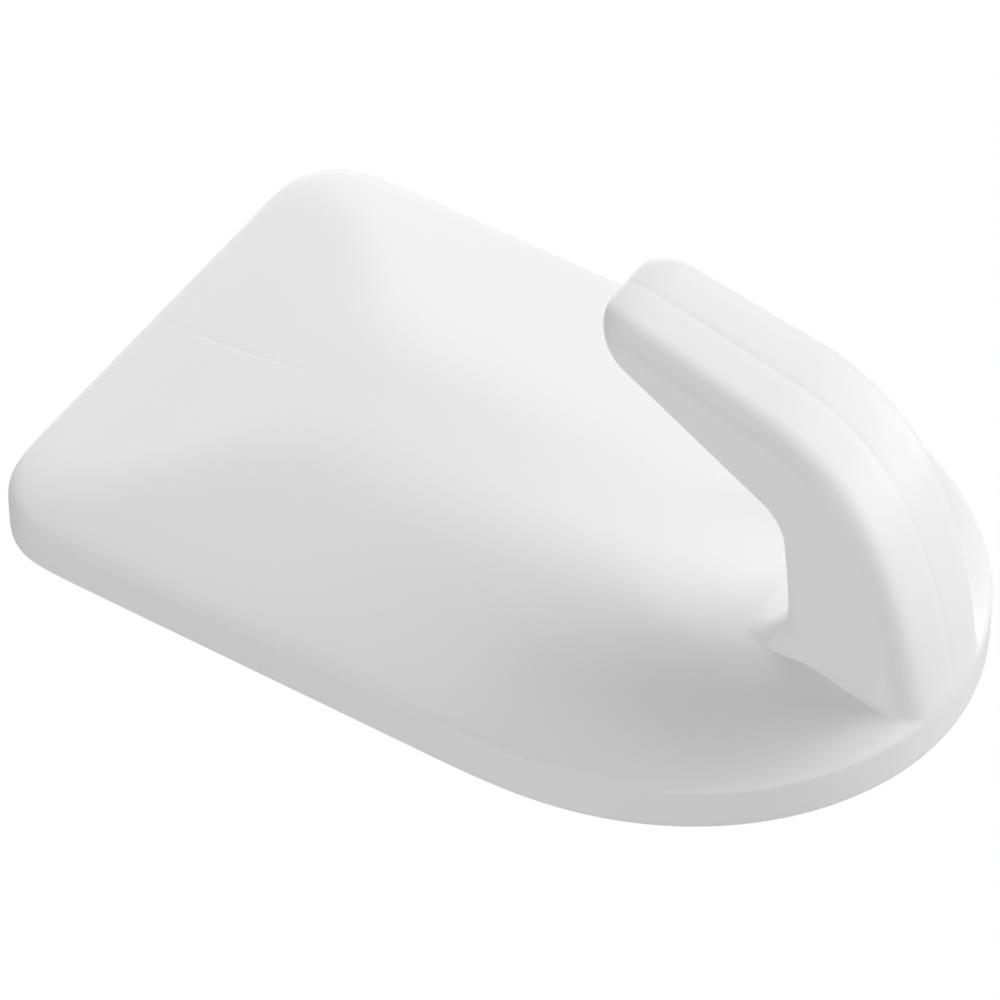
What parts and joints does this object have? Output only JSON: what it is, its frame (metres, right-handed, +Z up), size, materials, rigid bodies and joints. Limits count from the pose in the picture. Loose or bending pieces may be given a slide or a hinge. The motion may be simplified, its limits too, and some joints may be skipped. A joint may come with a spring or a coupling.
{
  "type": "adhesive wall hook",
  "caption": "Self-adhesive wall hook: a D-shaped crowned plate with an upturned hook at its round lower end, a foam pad in its back and a peel-off liner.",
  "frame": {"origin": "centre of the wall-side face, halfway up the plate", "axes": "+Z up the wall, +Y into the wall, +X across the plate; the hook stands out towards -Y"},
  "size_m": [0.04, 0.0273, 0.0616],
  "materials": {
    "body": "satin white moulded plastic",
    "adhesive": "clear tacky acrylic film",
    "foam": "white closed-cell foam",
    "liner": "pale yellow siliconised paper"
  },
  "bodies": {
    "hook": {"hook_body": "body", "hook_side_adhesive": "adhesive", "foam_carrier": "foam", "wall_side_adhesive": "adhesive"},
    "liner": {"release_liner": "liner"}
  },
  "joints": [
    {"name": "liner_peel", "type": "slide", "parent": "hook", "child": "liner", "axis": [0, 1, 0], "range_m": [0, 0.03]}
  ]
}
